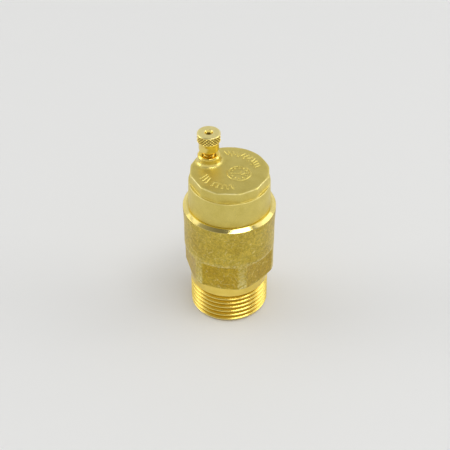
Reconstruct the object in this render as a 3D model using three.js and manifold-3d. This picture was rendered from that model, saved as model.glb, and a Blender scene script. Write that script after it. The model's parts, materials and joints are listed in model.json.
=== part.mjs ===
// Automatic air vent of the float type, with a G 1 male thread. Millimetres, +Z up.
// The origin is the centre of the threaded end, and the vent stands upright on that end.
// It is shown dry: the float hangs low, so the valve under the boss is open.

import * as THREE from 'three';
import { mergeVertices } from 'three/addons/utils/BufferGeometryUtils.js';
import Module from 'manifold-3d';

const wasm = await Module();
wasm.setup();

// ---------------------------------------------------------------- driving dimensions

// G 1 male thread. Its grooves are rings here, counted down from the uppermost one.
const THREAD_CREST_R = 16.62;
const THREAD_ROOT_R = 15.15;
const THREAD_PITCH = 2.309;
const THREAD_HALF_ANGLE = 27.5;
const THREAD_ROOT_HALF_WIDTH = 0.12;
const THREAD_TOP_GROOVE_Z = 14.0;
const THREAD_GROOVES = 6;
const THREAD_END_R = 15.4;
const THREAD_END_CHAMFER = 1.1;

// Body: round, with six wrench flats cut into its lower half
const BORE_R = 12.5;
const BORE_TOP_Z = 14.2;
const CHAMBER_R = 14.8;
const CHAMBER_FLOOR_Z = 16.5;
const NECK_R = 16.55;
const NECK_TOP_Z = 19.6;
const SHOULDER_R = 16.8;
const SHOULDER_TOP_Z = 20.9;
const BODY_R = 19.1;
const FLARE_START_Z = 46.0;
const FLARE_END_Z = 49.5;
const RIM_R = 19.42;
const RIM_EDGE_Z = 52.3;
const RIM_TOP_R = 17.4;
const RIM_TOP_Z = 53.5;
const SEAT_R = 16.0;
const SEAT_LEDGE_Z = 44.0;
const HEX_APOTHEM = 17.3;
const HEX_TOP_Z = 33.0;
const HEX_FLAT_ANGLE = 17;

// Cover: its spigot goes into the body, and twelve wrench flats stand round its top
const SPIGOT_R = 15.85;
const SPIGOT_END_Z = 45.1;
const COVER_JOINT_Z = 53.6;
const COVER_R_LOW = 17.15;
const COVER_R_HIGH = 16.9;
const COVER_EDGE = [[16.55, 69.0], [16.1, 69.9], [15.3, 70.4]];
const COVER_TOP_Z = 70.4;
const COVER_INNER_R = 14.4;
const COVER_INNER_CHAMFER = 0.5;
const COVER_CEILING_Z = 67.0;
const FLATS_Z = 65.5;
const FLAT_DEEP_APOTHEM = 15.65;
const FLAT_SHALLOW_APOTHEM = 15.95;
const FLAT_FIRST_ANGLE = -91.5;

// Valve boss on the cover
const BOSS_ANGLE = 144.5;
const BOSS_OFFSET = 10.3;
const BOSS_FOOT_R = 6.0;
const BOSS_R = 4.9;
const BOSS_TAPER = 0.15;
const BOSS_TOP_Z = 74.2;
const BOSS_TOP_CHAMFER = 0.6;

// Nozzle: its flange clamps the bracket, its rim is the valve's seat, its thread takes the cap
const NOZZLE_R = 2.55;
const NOZZLE_FLANGE_R = 3.0;
const NOZZLE_FLANGE_Z = 63.6;
const NOZZLE_TIP_Z = 80.9;
const NOZZLE_TIP_CHAMFER = 0.5;
const NOZZLE_ORIFICE_R = 0.8;
const AIR_SLOT_DEPTH = 0.6;
const AIR_SLOT_HALF_WIDTH = 0.5;
const SEAT_RIM_R = 1.45;
const SEAT_RIM_Z = 63.1;
const WASHER_R = 3.5;

// Screw cap: a knurled head on a smooth shank
const CAP_BOTTOM_R = 3.1;
const CAP_BOTTOM_Z = 75.1;
const CAP_SHANK_R = 4.2;
const CAP_SHANK_Z = 76.8;
const CAP_HEAD_R = 4.85;
const CAP_HEAD_Z = 81.6;
const CAP_HEAD_EDGE = 0.25;
const CAP_TOP_Z = 84.7;
const CAP_CEILING_Z = 82.0;
const CAP_DIMPLE_R = 2.4;
const CAP_DIMPLE_DEPTH = 0.75;
const CAP_CENTRE_R = 0.8;
const CAP_CENTRE_DEPTH = 1.9;
const CAP_SEAL_TOP_Z = 81.95;

// Lever: it swings by the same angle below and above level
const PIVOT_OFFSET = 12.5;
const PIVOT_Z = 57.0;
const LEVER_HALF_SWING = 10;
const LEVER_SHEET = 0.8;
const LEVER_HALF_WIDTH = 2.6;
const LEVER_TIP_HALF_WIDTH = 1.7;
const LEVER_HUB_R = 0.95;
const LEVER_HUB_HALF_WIDTH = 3.1;
const LEVER_EYE_R = 1.0;
const FORK_HALF_GAP = 0.9;
const PIN_R = 0.5;
const PIN_HOLE_R = 0.6;
const PIN_HEAD_R = 0.9;
const PIN_HEAD = 0.4;
const PIN_CLIP_R = 1.0;
const PIN_CLIP = 0.3;

// Bracket: a bent sheet with two cheeks and a guide tab for the stem
const BRACKET_SHEET = 0.6;
const BRACKET_PLATE = 0.8;
const BRACKET_PLATE_Z = 65.6;
const BRACKET_HALF_WIDTH = 3.9;
const GUIDE_TAB_Z = 49.8;

// Valve stem, its clip and its spring
const STEM_R = 0.6;
const STEM_BOTTOM_Z = 48.6;
const STEM_HEAD_R = 2.0;
const STEM_CUP_R = 1.65;
const COLLAR_R = 1.15;
const COLLAR = 0.8;
const STEM_CLIP = 0.5;
const SPRING_R = 1.0;
const SPRING_WIRE_R = 0.15;
const SPRING_TURNS = 5;

// Float: two plastic halves welded together, and a link with an eye for the lever's pin
const FLOAT_R = 13.2;
const FLOAT_WALL = 1.0;
const FLOAT_EDGE = 2.4;
const FLOAT_BOTTOM_Z = 18.0;
const FLOAT_WELD_Z = 35.0;
const FLOAT_TOP_Z = 43.5;
const FLOAT_NECK_Z = 46.0;
const LINK_ROD_R = 0.9;
const LINK_EYE_R = 1.5;
const LINK_HOLE_R = 0.75;
const LINK_HALF_SHEET = 0.6;

// Gap between pieces that face each other, and the play round something that slides or screws
const GAP = 0.05;
const PLAY = 0.15;
const OVERRUN = 1.0;

// ---------------------------------------------------------------- derived values

const halfSwing = THREE.MathUtils.degToRad(LEVER_HALF_SWING);
const floatStroke = 2 * PIVOT_OFFSET * Math.sin(halfSwing);
const stemArm = PIVOT_OFFSET - BOSS_OFFSET;
const stemStroke = floatStroke * stemArm / PIVOT_OFFSET;
const leverAtStemZ = PIVOT_Z - stemArm * Math.sin(halfSwing);
const linkPinZ = PIVOT_Z - PIVOT_OFFSET * Math.sin(halfSwing);
const linkPinX = PIVOT_OFFSET * (1 - Math.cos(halfSwing));
const plateTopZ = BRACKET_PLATE_Z + BRACKET_PLATE;
const guideTopZ = GUIDE_TAB_Z + BRACKET_PLATE;
const sealTopZ = SEAT_RIM_Z - stemStroke - 0.03;
const stemHeadZ = sealTopZ - 2.07;
const sealBottomZ = stemHeadZ + 0.5;
const collarZ = leverAtStemZ + 0.75;
const stemClipZ = leverAtStemZ - 1.25;

// ---------------------------------------------------------------- shape helpers

// A closed geometry as a solid that can be joined and cut
function solid(geometry) {
  const bare = geometry.clone();
  bare.deleteAttribute('normal');
  bare.deleteAttribute('uv');
  const merged = mergeVertices(bare, 1e-4);
  return new wasm.Manifold(new wasm.Mesh({
    numProp: 3,
    vertProperties: new Float32Array(merged.attributes.position.array),
    triVerts: new Uint32Array(merged.index.array),
  }));
}

// A solid of revolution about Z. The profile is a list of [radius, z] that runs up the
// outside of the material and down its inside.
function turned(profile, segments) {
  const points = profile.map(([radius, z]) => new THREE.Vector2(radius, z));
  return solid(new THREE.LatheGeometry(points, segments).rotateX(Math.PI / 2));
}

function ring(innerR, outerR, lowZ, highZ, segments) {
  const corners = [[innerR, lowZ], [outerR, lowZ], [outerR, highZ], [innerR, highZ], [innerR, lowZ]];
  return turned(corners, segments);
}

function rod(radius, lowZ, highZ, segments) {
  return turned([[0, lowZ], [radius, lowZ], [radius, highZ], [0, highZ]], segments);
}

// A box given by its low and high corners
function box([x0, y0, z0], [x1, y1, z1]) {
  const geometry = new THREE.BoxGeometry(x1 - x0, y1 - y0, z1 - z0);
  return solid(geometry.translate((x0 + x1) / 2, (y0 + y1) / 2, (z0 + z1) / 2));
}

// A rod along Y through (x, z)
function crossRod(radius, lowY, highY, x = 0, z = 0, segments = 16) {
  const geometry = new THREE.CylinderGeometry(radius, radius, highY - lowY, segments);
  return solid(geometry.translate(x, (lowY + highY) / 2, z));
}

// A flat plate standing in the XZ plane: an outline of [x, z] points, from lowY to highY
function uprightPlate(outline, lowY, highY) {
  const shape = new THREE.Shape(outline.map(([x, z]) => new THREE.Vector2(x, z)));
  const geometry = new THREE.ExtrudeGeometry(shape, { depth: highY - lowY, bevelEnabled: false });
  return solid(geometry.rotateX(Math.PI / 2).translate(0, highY, 0));
}

// A retaining clip: a C-shaped ring with its mouth towards +X
function clip(innerR, outerR, thickness) {
  const halfMouth = innerR * 0.7;
  const mouth = box([0, -halfMouth, -OVERRUN], [outerR * 2, halfMouth, thickness + OVERRUN]);
  return ring(innerR, outerR, 0, thickness, 20).subtract(mouth);
}

// Cuts a flat at each angle, at the given distance from the axis
function cutFlats(target, angles, apothem, lowZ, highZ) {
  const reach = 2 * apothem;
  let result = target;
  for (const angle of angles) {
    const block = new THREE.BoxGeometry(reach, reach, highZ - lowZ);
    block.translate(apothem + reach / 2, 0, (lowZ + highZ) / 2);
    block.rotateZ(THREE.MathUtils.degToRad(angle));
    result = result.subtract(solid(block));
  }
  return result;
}

// Six angles round a full turn, from a first one
function sixAngles(first) {
  return Array.from({ length: 6 }, (_, i) => first + i * 60);
}

// ---------------------------------------------------------------- materials and nodes

const finish = {
  forgedBrass: { color: 0xac963a, roughness: 0.45, metalness: 1 },
  blastedBrass: { color: 0xbcab5e, roughness: 0.55, metalness: 1 },
  turnedBrass: { color: 0xcfa93a, roughness: 0.22, metalness: 1 },
  steel: { color: 0xb8babd, roughness: 0.3, metalness: 1 },
  springSteel: { color: 0x9a9da1, roughness: 0.3, metalness: 1 },
  rubber: { color: 0x1c1c1d, roughness: 0.8, metalness: 0 },
  floatPlastic: { color: 0xe6e3da, roughness: 0.5, metalness: 0 },
  washerPlastic: { color: 0xf0efea, roughness: 0.5, metalness: 0 },
};

function node(name, shape, look) {
  const { vertProperties, triVerts } = shape.getMesh();
  const geometry = new THREE.BufferGeometry();
  geometry.setAttribute('position', new THREE.BufferAttribute(new Float32Array(vertProperties), 3));
  geometry.setIndex(new THREE.BufferAttribute(new Uint32Array(triVerts), 1));
  geometry.computeVertexNormals();
  const mesh = new THREE.Mesh(geometry, new THREE.MeshStandardMaterial(look));
  mesh.name = name;
  return mesh;
}

// ---------------------------------------------------------------- body and cover

// The thread's grooves, each a V with a narrow flat root, as a profile running upwards
function threadProfile() {
  const slope = Math.tan(THREE.MathUtils.degToRad(THREAD_HALF_ANGLE));
  const halfMouth = THREAD_ROOT_HALF_WIDTH + (THREAD_CREST_R - THREAD_ROOT_R) * slope;
  const points = [];
  for (let i = THREAD_GROOVES - 1; i >= 0; i--) {
    const z = THREAD_TOP_GROOVE_Z - i * THREAD_PITCH;
    points.push([THREAD_CREST_R, z - halfMouth], [THREAD_ROOT_R, z - THREAD_ROOT_HALF_WIDTH]);
    points.push([THREAD_ROOT_R, z + THREAD_ROOT_HALF_WIDTH], [NECK_R, z + halfMouth]);
  }
  return points;
}

function makeBody() {
  const outside = [
    [BORE_R, 0], [THREAD_END_R, 0], [THREAD_CREST_R, THREAD_END_CHAMFER], ...threadProfile(),
    [NECK_R, NECK_TOP_Z], [SHOULDER_R, NECK_TOP_Z], [BODY_R, SHOULDER_TOP_Z],
    [BODY_R, FLARE_START_Z], [RIM_R - GAP, FLARE_END_Z], [RIM_R, RIM_EDGE_Z], [RIM_TOP_R, RIM_TOP_Z],
  ];
  const inside = [
    [SEAT_R, RIM_TOP_Z], [SEAT_R, SEAT_LEDGE_Z], [CHAMBER_R, SEAT_LEDGE_Z],
    [CHAMBER_R, CHAMBER_FLOOR_Z], [BORE_R, BORE_TOP_Z], [BORE_R, 0],
  ];
  const round = turned([...outside, ...inside], 60);
  return cutFlats(round, sixAngles(HEX_FLAT_ANGLE), HEX_APOTHEM, NECK_TOP_Z - OVERRUN, HEX_TOP_Z);
}

function makeCover() {
  const shell = turned([
    [0, COVER_CEILING_Z], [COVER_INNER_R - COVER_INNER_CHAMFER, COVER_CEILING_Z],
    [COVER_INNER_R, COVER_CEILING_Z - COVER_INNER_CHAMFER], [COVER_INNER_R, SPIGOT_END_Z],
    [SPIGOT_R, SPIGOT_END_Z], [SPIGOT_R, COVER_JOINT_Z], [COVER_R_LOW, COVER_JOINT_Z],
    [COVER_R_HIGH, FLATS_Z], ...COVER_EDGE, [0, COVER_TOP_Z],
  ], 60);
  const onBossAxis = (shape) => shape.translate([BOSS_OFFSET, 0, 0]).rotate([0, 0, BOSS_ANGLE]);
  const boss = onBossAxis(turned([
    [0, COVER_TOP_Z - OVERRUN], [BOSS_FOOT_R, COVER_TOP_Z - OVERRUN], [BOSS_FOOT_R, COVER_TOP_Z],
    [BOSS_R + 0.4, COVER_TOP_Z + 0.25], [BOSS_R, COVER_TOP_Z + 0.9],
    [BOSS_R - BOSS_TAPER, BOSS_TOP_Z - BOSS_TOP_CHAMFER],
    [BOSS_R - BOSS_TAPER - BOSS_TOP_CHAMFER, BOSS_TOP_Z], [0, BOSS_TOP_Z],
  ], 32));
  const nozzleHole = rod(NOZZLE_R + PLAY, COVER_CEILING_Z - OVERRUN, BOSS_TOP_Z + OVERRUN, 24);

  // The flats trim the foot of the boss too, and every second one is shallower
  const cutTop = COVER_TOP_Z + OVERRUN;
  const round = shell.add(boss);
  const deepCut = cutFlats(round, sixAngles(FLAT_FIRST_ANGLE), FLAT_DEEP_APOTHEM, FLATS_Z, cutTop);
  return cutFlats(deepCut, sixAngles(FLAT_FIRST_ANGLE + 30), FLAT_SHALLOW_APOTHEM, FLATS_Z, cutTop)
    .subtract(onBossAxis(nozzleHole));
}

function makeCoverGasket() {
  return ring(CHAMBER_R + PLAY, SEAT_R - 2 * GAP, SEAT_LEDGE_Z + GAP, SPIGOT_END_Z - GAP, 48);
}

// ---------------------------------------------------------------- nozzle and cap, on the boss axis

function makeNozzle() {
  const flangeHeight = BRACKET_PLATE_Z - NOZZLE_FLANGE_Z;
  const hexFlange = solid(new THREE.CylinderGeometry(NOZZLE_FLANGE_R, NOZZLE_FLANGE_R, flangeHeight, 6)
    .rotateX(Math.PI / 2).translate(0, 0, NOZZLE_FLANGE_Z + flangeHeight / 2));
  const rootZ = NOZZLE_FLANGE_Z + flangeHeight / 4;
  const shank = turned([
    [0, rootZ], [NOZZLE_R, rootZ], [NOZZLE_R, NOZZLE_TIP_Z - NOZZLE_TIP_CHAMFER],
    [NOZZLE_R - NOZZLE_TIP_CHAMFER, NOZZLE_TIP_Z], [0, NOZZLE_TIP_Z],
  ], 24);
  const seatRim = rod(SEAT_RIM_R, SEAT_RIM_Z, rootZ, 24);
  const orifice = rod(NOZZLE_ORIFICE_R, SEAT_RIM_Z - OVERRUN, NOZZLE_TIP_Z + OVERRUN, 12);
  // A slot milled along the thread lets the air out under the cap
  const airSlot = box(
    [NOZZLE_R - AIR_SLOT_DEPTH, -AIR_SLOT_HALF_WIDTH, BOSS_TOP_Z + 0.4],
    [NOZZLE_R + OVERRUN, AIR_SLOT_HALF_WIDTH, NOZZLE_TIP_Z + OVERRUN],
  );
  return hexFlange.add(shank).add(seatRim).subtract(orifice).subtract(airSlot);
}

function makeNozzleWasher() {
  return ring(NOZZLE_R + PLAY, WASHER_R, plateTopZ, COVER_CEILING_Z, 24);
}

function makeVentCap() {
  const threadR = NOZZLE_R + PLAY + GAP;
  const dimpleZ = CAP_TOP_Z - CAP_DIMPLE_DEPTH;
  const centreZ = CAP_TOP_Z - CAP_CENTRE_DEPTH;
  return turned([
    [0, CAP_CEILING_Z], [threadR, CAP_CEILING_Z], [threadR, CAP_BOTTOM_Z], [CAP_BOTTOM_R, CAP_BOTTOM_Z],
    [CAP_BOTTOM_R + 0.15, CAP_BOTTOM_Z + 0.4], [CAP_SHANK_R, CAP_SHANK_Z],
    [CAP_SHANK_R, CAP_HEAD_Z - 0.2], [CAP_HEAD_R - CAP_HEAD_EDGE, CAP_HEAD_Z],
    [CAP_HEAD_R, CAP_HEAD_Z + CAP_HEAD_EDGE], [CAP_HEAD_R, CAP_TOP_Z - 0.7],
    [CAP_HEAD_R - CAP_HEAD_EDGE, CAP_TOP_Z - 0.2], [CAP_HEAD_R - 3 * CAP_HEAD_EDGE, CAP_TOP_Z],
    [CAP_DIMPLE_R, CAP_TOP_Z], [CAP_CENTRE_R, dimpleZ], [CAP_CENTRE_R, centreZ], [0, centreZ - 0.2],
  ], 32);
}

function makeCapSeal() {
  return rod(NOZZLE_R, NOZZLE_TIP_Z + GAP, CAP_SEAL_TOP_Z, 24);
}

// ---------------------------------------------------------------- stem, on the boss axis

function makeStem() {
  const grooveR = STEM_R - 0.2;
  const grooveTop = stemClipZ + STEM_CLIP + GAP;
  return turned([
    [0, STEM_BOTTOM_Z], [STEM_R, STEM_BOTTOM_Z], [STEM_R, stemClipZ - GAP], [grooveR, stemClipZ - GAP],
    [grooveR, grooveTop], [STEM_R, grooveTop], [STEM_R, collarZ], [COLLAR_R, collarZ],
    [COLLAR_R, collarZ + COLLAR], [STEM_R, collarZ + COLLAR], [STEM_R, stemHeadZ - 0.5],
    [STEM_HEAD_R, stemHeadZ], [STEM_HEAD_R, sealTopZ - 0.4], [STEM_CUP_R, sealTopZ - 0.4],
    [STEM_CUP_R, sealBottomZ], [0, sealBottomZ],
  ], 20);
}

function makeStemSeal() {
  return rod(STEM_CUP_R - GAP, sealBottomZ, sealTopZ, 20);
}

function makeStemClip() {
  return clip(STEM_R - PLAY, COLLAR_R, STEM_CLIP).translate([0, 0, stemClipZ]);
}

class SpringPath extends THREE.Curve {
  constructor(radius, lowZ, highZ, turns) {
    super();
    Object.assign(this, { radius, lowZ, highZ, turns });
  }

  getPoint(t, target = new THREE.Vector3()) {
    const angle = 2 * Math.PI * this.turns * t;
    const z = this.lowZ + (this.highZ - this.lowZ) * t;
    return target.set(this.radius * Math.cos(angle), this.radius * Math.sin(angle), z);
  }
}

function makeStemSpring() {
  const end = SPRING_WIRE_R + 2 * GAP;
  const extrudePath = new SpringPath(SPRING_R, guideTopZ + end, stemClipZ - end, SPRING_TURNS);
  const section = new THREE.Shape().absarc(0, 0, SPRING_WIRE_R, 0, 2 * Math.PI);
  const options = { steps: 12 * SPRING_TURNS, extrudePath, curveSegments: 3, bevelEnabled: false };
  return solid(new THREE.ExtrudeGeometry(section, options));
}

// ---------------------------------------------------------------- bracket, pins and lever

function makeBracket() {
  const back = 12.9;
  const widest = 13.5;
  const front = 8.9;
  const tabFront = 11.9;
  const cheek = [
    [front, plateTopZ], [front, 64.4], [11.0, 62.0], [11.2, 56.4], [front, 52.0], [front, GUIDE_TAB_Z],
    [tabFront, GUIDE_TAB_Z], [widest, 54.6], [widest, 64.5], [back, BRACKET_PLATE_Z], [back, plateTopZ],
  ];
  const side = BRACKET_HALF_WIDTH;
  const inner = side - BRACKET_SHEET;
  const onStemAxis = (radius, lowZ, highZ) => rod(radius, lowZ, highZ, 20).translate([BOSS_OFFSET, 0, 0]);
  return box([6.4, -side, BRACKET_PLATE_Z], [back, side, plateTopZ])
    .add(box([front, -side, GUIDE_TAB_Z], [tabFront, side, guideTopZ]))
    .add(uprightPlate(cheek, -side, -inner))
    .add(uprightPlate(cheek, inner, side))
    .subtract(onStemAxis(NOZZLE_R + PLAY, BRACKET_PLATE_Z - OVERRUN, plateTopZ + OVERRUN))
    .subtract(onStemAxis(STEM_R + PLAY, GUIDE_TAB_Z - OVERRUN, guideTopZ + OVERRUN))
    .subtract(crossRod(PIN_HOLE_R, -side - OVERRUN, side + OVERRUN, PIVOT_OFFSET, PIVOT_Z));
}

// A pin along Y with a head at its -Y end and a clip groove near its +Y end
function headedPin(headFaceY, clipY) {
  const grooveR = PIN_R - PLAY;
  const groove = crossRod(PIN_HEAD_R, clipY - GAP, clipY + PIN_CLIP + GAP)
    .subtract(crossRod(grooveR, clipY - OVERRUN, clipY + OVERRUN));
  return crossRod(PIN_R, headFaceY - PIN_HEAD / 2, clipY + 2 * PIN_CLIP)
    .add(crossRod(PIN_HEAD_R, headFaceY - PIN_HEAD, headFaceY))
    .subtract(groove);
}

function pinClip(clipY) {
  return clip(PIN_R - 2 * GAP, PIN_CLIP_R, PIN_CLIP).rotate([-90, 0, 0]).translate([0, clipY, 0]);
}

// The lever lies level here, with its pivot at the origin and the float's end at -X
function makeLever() {
  const wide = LEVER_HALF_WIDTH;
  const tip = LEVER_TIP_HALF_WIDTH;
  const tipX = -PIVOT_OFFSET;
  const forkX = tipX + 1.9;
  const arm = new THREE.Shape([
    [0.3, -wide], [0.3, wide], [-3.6, wide], [-6.0, tip], [tipX, tip], [tipX, FORK_HALF_GAP],
    [forkX, FORK_HALF_GAP], [forkX, -FORK_HALF_GAP], [tipX, -FORK_HALF_GAP], [tipX, -tip],
    [-6.0, -tip], [-3.6, -wide],
  ].map(([x, y]) => new THREE.Vector2(x, y)));
  const sheet = new THREE.ExtrudeGeometry(arm, { depth: LEVER_SHEET, bevelEnabled: false });
  const reach = LEVER_HUB_HALF_WIDTH + OVERRUN;
  return solid(sheet.translate(0, 0, -LEVER_SHEET / 2))
    .add(crossRod(LEVER_HUB_R, -LEVER_HUB_HALF_WIDTH, LEVER_HUB_HALF_WIDTH))
    .add(crossRod(LEVER_EYE_R, -tip, -FORK_HALF_GAP, tipX))
    .add(crossRod(LEVER_EYE_R, FORK_HALF_GAP, tip, tipX))
    .subtract(crossRod(PIN_HOLE_R, -reach, reach))
    .subtract(crossRod(PIN_HOLE_R, -reach, reach, tipX))
    .subtract(rod(STEM_R + PLAY + 2 * GAP, -OVERRUN, OVERRUN, 16).translate([-stemArm, 0, 0]));
}

// ---------------------------------------------------------------- float

// The eye is wider than its pin, because the pin swings on an arc and the float goes straight
function makeFloatLink() {
  const eyeX = linkPinX / 2;
  const half = LINK_HALF_SHEET;
  return crossRod(LINK_EYE_R, -half, half, eyeX, linkPinZ, 20)
    .add(box([-half, -half, FLOAT_NECK_Z - 2 * GAP], [half, half, linkPinZ]))
    .add(rod(LINK_ROD_R, FLOAT_TOP_Z - 0.4, FLOAT_NECK_Z + 0.2, 16))
    .subtract(crossRod(LINK_HOLE_R, -OVERRUN, OVERRUN, eyeX, linkPinZ, 20));
}

function makeFloatUpper() {
  const innerR = FLOAT_R - FLOAT_WALL;
  const underZ = FLOAT_TOP_Z - FLOAT_WALL;
  const socketR = LINK_ROD_R + 2 * GAP;
  const socketZ = FLOAT_TOP_Z - 0.5;
  return turned([
    [0, underZ - 1.2], [2.2, underZ - 1.2], [2.4, underZ], [innerR - FLOAT_EDGE, underZ],
    [innerR, underZ - FLOAT_EDGE], [innerR, FLOAT_WELD_Z], [FLOAT_R, FLOAT_WELD_Z],
    [FLOAT_R, FLOAT_TOP_Z - FLOAT_EDGE], [FLOAT_R - FLOAT_EDGE, FLOAT_TOP_Z], [2.8, FLOAT_TOP_Z],
    [2.4, FLOAT_NECK_Z], [socketR, FLOAT_NECK_Z], [socketR, socketZ], [0, socketZ],
  ], 40);
}

function makeFloatLower() {
  const innerR = FLOAT_R - FLOAT_WALL;
  const floorZ = FLOAT_BOTTOM_Z + FLOAT_WALL;
  return turned([
    [0, FLOAT_BOTTOM_Z], [FLOAT_R - FLOAT_EDGE, FLOAT_BOTTOM_Z], [FLOAT_R, FLOAT_BOTTOM_Z + FLOAT_EDGE],
    [FLOAT_R, FLOAT_WELD_Z - GAP], [innerR, FLOAT_WELD_Z - GAP], [innerR, floorZ + FLOAT_EDGE],
    [innerR - FLOAT_EDGE, floorZ], [0, floorZ],
  ], 40);
}

// ---------------------------------------------------------------- assembly

const airVent = new THREE.Group();
airVent.add(
  node('body', makeBody(), finish.forgedBrass),
  node('cover', makeCover(), finish.blastedBrass),
  node('cover_gasket', makeCoverGasket(), finish.rubber),
);

// In this group +X points from the vent's axis to the boss, along the lever
const mechanism = new THREE.Group();
mechanism.rotation.z = THREE.MathUtils.degToRad(BOSS_ANGLE);
mechanism.add(
  node('lever_bracket', makeBracket(), finish.steel),
  node('float_link', makeFloatLink(), finish.steel),
  node('float_upper', makeFloatUpper(), finish.floatPlastic),
  node('float_lower', makeFloatLower(), finish.floatPlastic),
);
airVent.add(mechanism);

const bossAxis = new THREE.Group();
bossAxis.position.x = BOSS_OFFSET;
bossAxis.add(
  node('valve_nozzle', makeNozzle(), finish.turnedBrass),
  node('nozzle_washer', makeNozzleWasher(), finish.washerPlastic),
  node('vent_cap', makeVentCap(), finish.turnedBrass),
  node('cap_seal', makeCapSeal(), finish.rubber),
  node('valve_stem', makeStem(), finish.turnedBrass),
  node('stem_seal', makeStemSeal(), finish.rubber),
  node('stem_clip', makeStemClip(), finish.steel),
  node('stem_spring', makeStemSpring(), finish.springSteel),
);
mechanism.add(bossAxis);

const pivotClipY = BRACKET_HALF_WIDTH + 0.08;
const pivot = new THREE.Group();
pivot.position.set(PIVOT_OFFSET, 0, PIVOT_Z);
pivot.add(
  node('lever_pivot_pin', headedPin(-BRACKET_HALF_WIDTH - GAP, pivotClipY), finish.steel),
  node('pivot_pin_clip', pinClip(pivotClipY), finish.steel),
);
mechanism.add(pivot);

// The float's end of the lever hangs below the pivot at rest
const leverArm = new THREE.Group();
leverArm.position.copy(pivot.position);
leverArm.rotation.y = -halfSwing;
leverArm.add(node('lever', makeLever(), finish.steel));
const linkClipY = LEVER_TIP_HALF_WIDTH + 0.08;
const linkJoint = new THREE.Group();
linkJoint.position.x = -PIVOT_OFFSET;
linkJoint.add(
  node('link_pin', headedPin(-LEVER_TIP_HALF_WIDTH - GAP, linkClipY), finish.steel),
  node('link_pin_clip', pinClip(linkClipY), finish.steel),
);
leverArm.add(linkJoint);
mechanism.add(leverArm);

export default airVent;
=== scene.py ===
"""Automatic air vent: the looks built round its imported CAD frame.

Lengths below are in millimetres; every mesh is written in metres, in the frame's own axes.
"""

import json
import math

import bpy
import numpy as np
from mathutils import Matrix, Vector


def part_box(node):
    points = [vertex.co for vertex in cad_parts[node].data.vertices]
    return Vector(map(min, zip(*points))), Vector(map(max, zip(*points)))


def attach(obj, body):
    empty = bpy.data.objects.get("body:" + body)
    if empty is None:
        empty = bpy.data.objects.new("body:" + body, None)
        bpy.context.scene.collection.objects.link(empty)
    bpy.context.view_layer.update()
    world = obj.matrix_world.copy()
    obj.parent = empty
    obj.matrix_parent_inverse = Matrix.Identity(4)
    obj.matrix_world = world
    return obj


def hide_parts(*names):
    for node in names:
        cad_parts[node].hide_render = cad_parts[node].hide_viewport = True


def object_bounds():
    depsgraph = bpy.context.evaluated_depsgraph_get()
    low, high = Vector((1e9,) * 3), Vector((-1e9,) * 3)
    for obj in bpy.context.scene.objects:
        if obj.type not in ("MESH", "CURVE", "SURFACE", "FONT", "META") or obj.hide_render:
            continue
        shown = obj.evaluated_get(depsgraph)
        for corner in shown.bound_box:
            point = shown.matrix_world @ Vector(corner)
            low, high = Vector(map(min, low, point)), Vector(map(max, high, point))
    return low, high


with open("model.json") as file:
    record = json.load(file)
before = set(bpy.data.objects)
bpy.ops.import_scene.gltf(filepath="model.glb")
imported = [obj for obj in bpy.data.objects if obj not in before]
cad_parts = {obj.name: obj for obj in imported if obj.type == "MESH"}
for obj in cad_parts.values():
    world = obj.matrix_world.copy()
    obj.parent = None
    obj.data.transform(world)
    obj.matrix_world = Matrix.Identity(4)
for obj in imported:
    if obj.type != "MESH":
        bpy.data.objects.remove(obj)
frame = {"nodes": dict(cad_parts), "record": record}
cad_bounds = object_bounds()

MM = 0.001


# ------------------------------------------------------------------ places taken from the frame

def box_mm(node):
    """Lowest and highest corner of a CAD node, in millimetres."""
    low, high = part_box(node)
    return np.array(low) / MM, np.array(high) / MM


body_high = box_mm("body")[1]
cover_low, cover_high = box_mm("cover")
cap_low, cap_high = box_mm("vent_cap")
nozzle_low, nozzle_high = box_mm("valve_nozzle")

RIM_TOP_Z = body_high[2]
RIM_R = body_high[0]
CAP_AXIS = (cap_low[:2] + cap_high[:2]) / 2
CAP_BOTTOM_Z = cap_low[2]
CAP_TOP_Z = cap_high[2]
SPIGOT_END_Z = cover_low[2]
BOSS_TOP_Z = cover_high[2]

# ------------------------------------------------------------------ driving dimensions

THREAD_CREST_R = 16.62
THREAD_PITCH = 2.309
THREAD_TOP_GROOVE_Z = 14.0
THREAD_END_R = 15.4
THREAD_END_CHAMFER = 1.1
NECK_R = 16.55
NECK_TOP_Z = 19.6
SHOULDER_R = 16.8
SHOULDER_TOP_Z = 20.9
BODY_R = 19.1
FLARE_START_Z = 45.0
FLARE_END_Z = 50.0
RIM_EDGE_Z = 52.5
RIM_TOP_R = 17.85
SEAT_R = 16.0
SEAT_LEDGE_Z = 44.0
CHAMBER_R = 14.8
CHAMBER_FLOOR_Z = 16.5
BORE_R = 12.5
BORE_TOP_Z = 14.2
HEX_APOTHEM = 17.3
HEX_TOP_Z = 33.0
HEX_FLAT_ANGLE = math.radians(17)

COVER_JOINT_Z = 53.6
COVER_R_LOW = 17.12
COVER_R_HIGH = 16.88
COVER_TOP_Z = 70.4
COVER_DOME = 0.45
COVER_INNER_R = 14.4
COVER_CEILING_Z = 67.0
SPIGOT_R = 15.85
FLATS_Z = 65.5
DEEP_APOTHEM = 15.65
SHALLOW_APOTHEM = 15.95
FLATS_SHIFT = (0.1, 0.3)
FLAT_FIRST_ANGLE = math.radians(-91.5)
BOSS_R = 4.85
BOSS_CHAMFER = 0.55

NOZZLE_R = 2.55
NOZZLE_PITCH = 0.8
NOZZLE_BORE_R = 0.8
NOZZLE_SEAT_R = 1.45
NOZZLE_FLANGE_R = 2.9
NOZZLE_FLANGE_Z = 63.6
NOZZLE_FLANGE_TOP_Z = 65.6
NOZZLE_THREAD_Z = 66

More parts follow.
